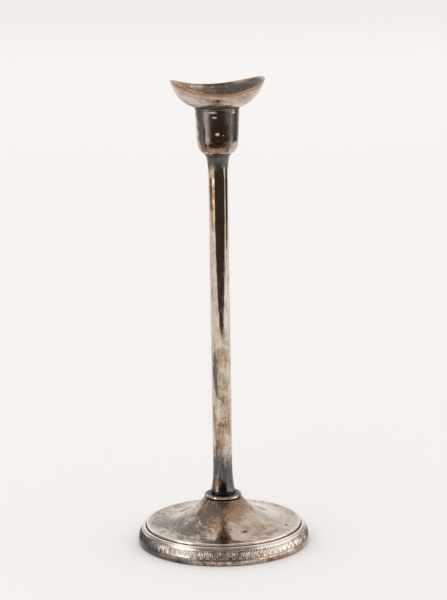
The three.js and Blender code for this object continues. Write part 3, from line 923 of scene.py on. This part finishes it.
class CANDLESTICK_OT_inner_parts(bpy.types.Operator):
    """Gives the hidden CAD pieces their own finishes: steel, tinned brass and plaster"""

    bl_idname = "candlestick.inner_parts"
    bl_label = "Inner parts"

    def execute(self, context):
        colours = context.scene.candlestick_colours
        # Mild steel, turned and cut, gone dull and brown inside the stem
        steel = plain_metal("dulled_steel", colours.steel, grain_mm=2.5, roughness=0.5)
        # Tinned brass, turned: grey and slightly frosted, as the liner is
        brass = plain_metal("tinned_brass_bush", colours.tin, grain_mm=3.0, roughness=0.42)
        # Cast plaster: fine chalky grain, no shine
        plaster = soft_stuff("cast_plaster", colours.plaster, 1.2, depth_mm=0.1, spread=0.12, sheen=0.0)
        finishes = {
            steel: ("base_plate", "lower_nut", "lower_washer", "tie_rod", "upper_washer", "upper_nut"),
            brass: ("lower_bush", "upper_bush"),
            plaster: ("ballast",),
        }
        for material, nodes in finishes.items():
            for node in nodes:
                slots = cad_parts[node].data.materials
                slots.clear()
                slots.append(material)
        return {"FINISHED"}


# ---- Table, lights and camera: lengths in metres ----

TABLE_RADIUS = 12.0
TABLE_SIDES = 96
TABLE_TURN = math.radians(12)
CAMERA_DISTANCE = 1.296
CAMERA_HEIGHT = 0.42437
CAMERA_PITCH = math.radians(11.731)
CAMERA_YAW = math.radians(0.093)
CAMERA_ROLL = math.radians(0.888)
CAMERA_LENS = 127.95  # mm
CAMERA_SENSOR = 36.0  # mm, along the picture's long side
CAMERA_REACH = 50.0
LAMP_AIM = 0.1  # height of the point that the lamps face
WHITE = linear("FFFFFF")
ROOM_WHITE = linear("FFFEFD")
ROOM_GLOW = 0.96
DIM = linear("6C635B")
DARK = linear("7A6E63")
CARD_LIFT = 0.0006  # so that a card that lies level with the table doesn't touch it

# Lamps: degrees to the right of the camera, height, distance, width and height of the lamp, watts
LAMPS = (
    ("key_light", -35, 1.5, 1.2, 1.2, 1.2, 1.5),
    ("backdrop_light", 180, 2.2, 3.2, 3.0, 2.0, 6.0),
)
# The dark floor past the table's front and right edges, and the dim ceiling in front: span to the right and
# to the back, height, turn, colour, glow, and how far the glow varies
LEVEL_CARDS = (
    ("floor_card", (-4.0, 4.0), (-4.585, -0.585), CARD_LIFT, TABLE_TURN, DARK, 0.29, 0.18),
    ("side_card", (0.99, 2.6), (0.0, 1.2), CARD_LIFT, 0.0, DARK, 0.29, 0.18),
    ("ceiling_card", (-1.6, 1.6), (-4.0, -0.7), 2.0, 0.0, DIM, 1.3, 0.5),
)
# The dim room and two softboxes: from and to in degrees right of the camera, top, distance, colour, glow
CURVED_CARDS = (
    ("room_card", -47, 44, 1.0, 2.4, DIM, 1.0),
    ("left_softbox", -76, -47, 1.2, 1.3, WHITE, 2.6),
    ("right_softbox", 44, 104, 1.2, 2.7, WHITE, 2.2),
    ("left_card", -125, -77, 0.8, 1.3, DIM, 1.6),
    ("right_card", 106, 150, 0.6, 2.7, DIM, 2.6),
)


def flat_light(name, tint, strength, spread=0.0):
    """A card's glow, even or in soft patches that vary by spread."""
    material, tree, place = new_material(name)
    patches = add_node(tree, "TexNoise", {"Vector": place, "Scale": 4.0, "Detail": 3.0})
    limits = {"From Min": 0.3, "From Max": 0.7, "To Min": strength - spread, "To Max": strength + spread}
    level = add_node(tree, "MapRange", {"Value": patches, **limits})
    glow = add_node(tree, "Emission", {"Color": tint, "Strength": level})
    add_node(tree, "OutputMaterial", {"Surface": glow})
    return material


def card(name, grid, material):
    """A studio card that shows only in reflections."""
    rows, columns = grid.shape[:2]
    index = np.arange(rows * columns).reshape(rows, columns)
    faces = np.stack([index[:-1, :-1], index[:-1, 1:], index[1:, 1:], index[1:, :-1]], axis=-1).reshape(-1, 4)
    mesh = bpy.data.meshes.new(name)
    mesh.from_pydata(grid.reshape(-1, 3).tolist(), [], faces.tolist())
    mesh.materials.append(material)
    screen = add_object(name, mesh)
    for ray in ("camera", "diffuse", "shadow", "transmission"):
        setattr(screen, "visible_" + ray, False)


def level_card(name, x_span, y_span, height, turn, tint, strength, spread):
    """A level oblong, turned about the candlestick: (x cos t - y sin t, x sin t + y cos t, height)."""
    x, y = np.meshgrid(x_span, y_span)
    cosine, sine = math.cos(turn), math.sin(turn)
    grid = np.dstack([x * cosine - y * sine, x * sine + y * cosine, np.full_like(x, height)])
    card(name, grid, flat_light(name + "_glow", tint, strength, spread))


def curved_card(name, start, end, top, distance, tint, strength):
    """Part of an upright cylinder round the candlestick: (distance sin a, -distance cos a, height)."""
    turn, height = np.meshgrid(np.radians(np.linspace(start, end, 25)), (0.0, top))
    grid = np.dstack([distance * np.sin(turn), -distance * np.cos(turn), height])
    card(name, grid, flat_light(name + "_glow", tint, strength))


def soft_light(name, turn_degrees, height, distance, width, tall, power):
    """A lamp at a place round the candlestick, facing it and hidden from reflections."""
    turn = math.radians(turn_degrees)
    data = bpy.data.lights.new(name, "AREA")
    data.shape = "RECTANGLE"
    data.size, data.size_y = width, tall
    data.energy = power
    lamp = add_object(name, data)
    lamp.visible_glossy = False
    place = (distance * math.sin(turn), -distance * math.cos(turn), height)
    pitch = math.atan2(distance, height - LAMP_AIM)
    aim = Matrix.Rotation(turn, 4, "Z") @ Matrix.Rotation(pitch, 4, "X")
    lamp.matrix_world = Matrix.Translation(place) @ aim


class CANDLESTICK_OT_studio(bpy.types.Operator):
    """Pale table, even light, two lamps, cards that only the metal reflects, and the camera"""

    bl_idname = "candlestick.studio"
    bl_label = "Studio"

    def execute(self, context):
        context.scene.view_settings.view_transform = "Standard"
        self.add_room(context.scene)
        self.add_table(context.scene.candlestick_colours.table)
        for row in LEVEL_CARDS:
            level_card(*row)
        for row in CURVED_CARDS:
            curved_card(*row)
        for row in LAMPS:
            soft_light(*row)
        self.add_camera(context.scene)
        return {"FINISHED"}

    def add_room(self, scene):
        """Even white light from all sides."""
        world = bpy.data.worlds.new("white_room")
        scene.world = world
        world.use_nodes = True
        world.node_tree.nodes.clear()
        sky = add_node(world.node_tree, "Background", {"Color": ROOM_WHITE, "Strength": ROOM_GLOW})
        add_node(world.node_tree, "OutputWorld", {"Surface": sky})

    def add_table(self, tint):
        """A wide disc at floor level."""
        turn = np.linspace(0, 2 * math.pi, TABLE_SIDES, endpoint=False)
        rim = TABLE_RADIUS * np.column_stack([np.cos(turn), np.sin(turn), np.zeros(TABLE_SIDES)])
        mesh = bpy.data.meshes.new("table")
        mesh.from_pydata(rim.tolist(), [], [list(range(TABLE_SIDES))])
        # Matt white paint, which scatters light and reflects nothing
        material, tree, _ = new_material("table_white")
        finish_material(tree, {"Base Color": tint, "Roughness": 0.9})
        mesh.materials.append(material)
        add_object("table", mesh)

    def add_camera(self, scene):
        """The camera stands in front, looks slightly down, and is tipped a little to its side."""
        data = bpy.data.cameras.new("camera")
        data.lens = CAMERA_LENS
        data.sensor_width = CAMERA_SENSOR
        data.clip_end = CAMERA_REACH
        camera = add_object("camera", data)
        camera.matrix_world = (
            Matrix.Translation((0, -CAMERA_DISTANCE, CAMERA_HEIGHT))
            @ Matrix.Rotation(-CAMERA_YAW, 4, "Z")
            @ Matrix.Rotation(math.pi / 2 - CAMERA_PITCH, 4, "X")
            @ Matrix.Rotation(-CAMERA_ROLL, 4, "Z")
        )
        scene.camera = camera


# ---- Panel and registration ----

OPERATORS = (
    CANDLESTICK_OT_felt_pad,
    CANDLESTICK_OT_base_rim,
    CANDLESTICK_OT_ornament_band,
    CANDLESTICK_OT_step_ring,
    CANDLESTICK_OT_foot_dome,
    CANDLESTICK_OT_foot_collar,
    CANDLESTICK_OT_stem_tube,
    CANDLESTICK_OT_socket_cup,
    CANDLESTICK_OT_socket_liner,
    CANDLESTICK_OT_drip_pan,
    CANDLESTICK_OT_inner_parts,
    CANDLESTICK_OT_studio,
)


class CANDLESTICK_PT_panel(bpy.types.Panel):
    """Sizes, colours and the steps that build the candlestick"""

    bl_label = "Candlestick"
    bl_idname = "CANDLESTICK_PT_panel"
    bl_space_type = "VIEW_3D"
    bl_region_type = "UI"
    bl_category = "Candlestick"

    def draw(self, context):
        for group in (context.scene.candlestick_sizes, context.scene.candlestick_colours):
            box = self.layout.box()
            for name in type(group).__annotations__:
                box.prop(group, name)
        for operator in OPERATORS:
            self.layout.operator(operator.bl_idname)


CLASSES = (CandlestickSizes, CandlestickColours, *OPERATORS, CANDLESTICK_PT_panel)


def register():
    """Registers every class and puts both groups of properties on the scene."""
    for entry in CLASSES:
        bpy.utils.register_class(entry)
    bpy.types.Scene.candlestick_sizes = bpy.props.PointerProperty(type=CandlestickSizes)
    bpy.types.Scene.candlestick_colours = bpy.props.PointerProperty(type=CandlestickColours)


def unregister():
    """Undoes register, in reverse order."""
    del bpy.types.Scene.candlestick_colours
    del bpy.types.Scene.candlestick_sizes
    for entry in reversed(CLASSES):
        bpy.utils.unregister_class(entry)


def main():
    """Registers the add-on, and builds every piece and the studio."""
    register()
    for operator in OPERATORS:
        category, name = operator.bl_idname.split(".")
        getattr(getattr(bpy.ops, category), name)()


if __name__ == "__main__":
    main()
